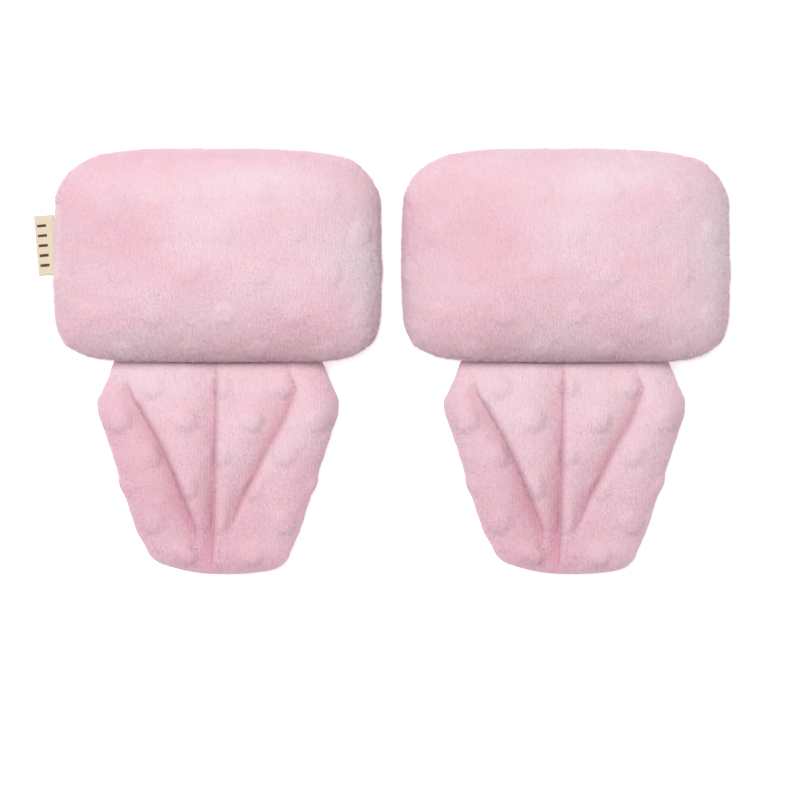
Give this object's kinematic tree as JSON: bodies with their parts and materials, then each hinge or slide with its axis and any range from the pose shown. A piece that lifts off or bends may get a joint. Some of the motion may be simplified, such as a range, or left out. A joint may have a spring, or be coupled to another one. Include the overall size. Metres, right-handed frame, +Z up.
{
  "type": "plush wrist support pair",
  "caption": "Pair of plush supports, each a stuffed pillow sewn to a pleated padded cuff that opens along one side and closes with hook and loop tape.",
  "frame": {"origin": "middle of the pair's footprint, on the surface that it lies on", "axes": "+X from the left support to the right one, +Y from the cuffs to the pillows, +Z up"},
  "size_m": [0.281, 0.1704, 0.044],
  "materials": {
    "plush": "short soft pile with raised dots",
    "lining": "smooth knitted lining",
    "wadding": "white polyester wadding",
    "hook_tape": "woven tape with stiff hooks",
    "loop_tape": "woven tape with brushed loops",
    "label_tape": "plain woven cotton tape"
  },
  "bodies": {
    "left_cuff": {"left_cuff_back_cover": "plush", "left_cuff_back_padding": "wadding", "left_cuff_back_lining": "lining", "left_cuff_loop_tape": "loop_tape", "left_cuff_side_fold": "plush", "left_neck_strip": "plush"},
    "left_pillow": {"left_pillow_front_cover": "plush", "left_pillow_back_cover": "plush", "left_pillow_filling": "wadding"},
    "left_label": {"left_side_label": "label_tape"},
    "left_front_panel": {"left_cuff_front_cover": "plush", "left_cuff_front_padding_1": "wadding", "left_cuff_front_padding_2": "wadding", "left_cuff_front_padding_3": "wadding", "left_cuff_front_padding_4": "wadding", "left_cuff_front_lining": "lining", "left_cuff_hook_tape": "hook_tape"},
    "right_cuff": {"right_cuff_back_cover": "plush", "right_cuff_back_padding": "wadding", "right_cuff_back_lining": "lining", "right_cuff_loop_tape": "loop_tape", "right_cuff_side_fold": "plush", "right_neck_strip": "plush"},
    "right_pillow": {"right_pillow_front_cover": "plush", "right_pillow_back_cover": "plush", "right_pillow_filling": "wadding"},
    "right_front_panel": {"right_cuff_front_cover": "plush", "right_cuff_front_padding_1": "wadding", "right_cuff_front_padding_2": "wadding", "right_cuff_front_padding_3": "wadding", "right_cuff_front_padding_4": "wadding", "right_cuff_front_lining": "lining", "right_cuff_hook_tape": "hook_tape"}
  },
  "joints": [
    {"name": "left_cuff_opening", "type": "hinge", "parent": "left_cuff", "child": "left_front_panel", "pos_m": [-0.1134, -0.01705, 0.0105], "axis": [0.3075, -0.9516, 0], "range_deg": [0, 175]},
    {"name": "right_cuff_opening", "type": "hinge", "parent": "right_cuff", "child": "right_front_panel", "pos_m": [0.12412, -0.01705, 0.0105], "axis": [0.3075, 0.9516, 0], "range_deg": [0, 175]},
    {"name": "left_pillow_tilt", "type": "hinge", "parent": "left_cuff", "child": "left_pillow", "pos_m": [-0.06424, 0.0012, 0.022], "axis": [1, 0, 0], "range_deg": [-15, 60]},
    {"name": "right_pillow_tilt", "type": "hinge", "parent": "right_cuff", "child": "right_pillow", "pos_m": [0.07496, 0.0012, 0.022], "axis": [1, 0, 0], "range_deg": [-15, 60]},
    {"name": "left_label_flip", "type": "hinge", "parent": "left_pillow", "child": "left_label", "pos_m": [-0.13104, 0.0468, 0.022], "axis": [-0.0872, 0.9962, 0], "range_deg": [-60, 60], "stiffness_Nm_per_rad": 0.002},
    {"name": "pair_slide", "type": "slide", "parent": "left_cuff", "child": "right_cuff", "axis": [1, 0, 0], "range_m": [0, 0.1]}
  ]
}
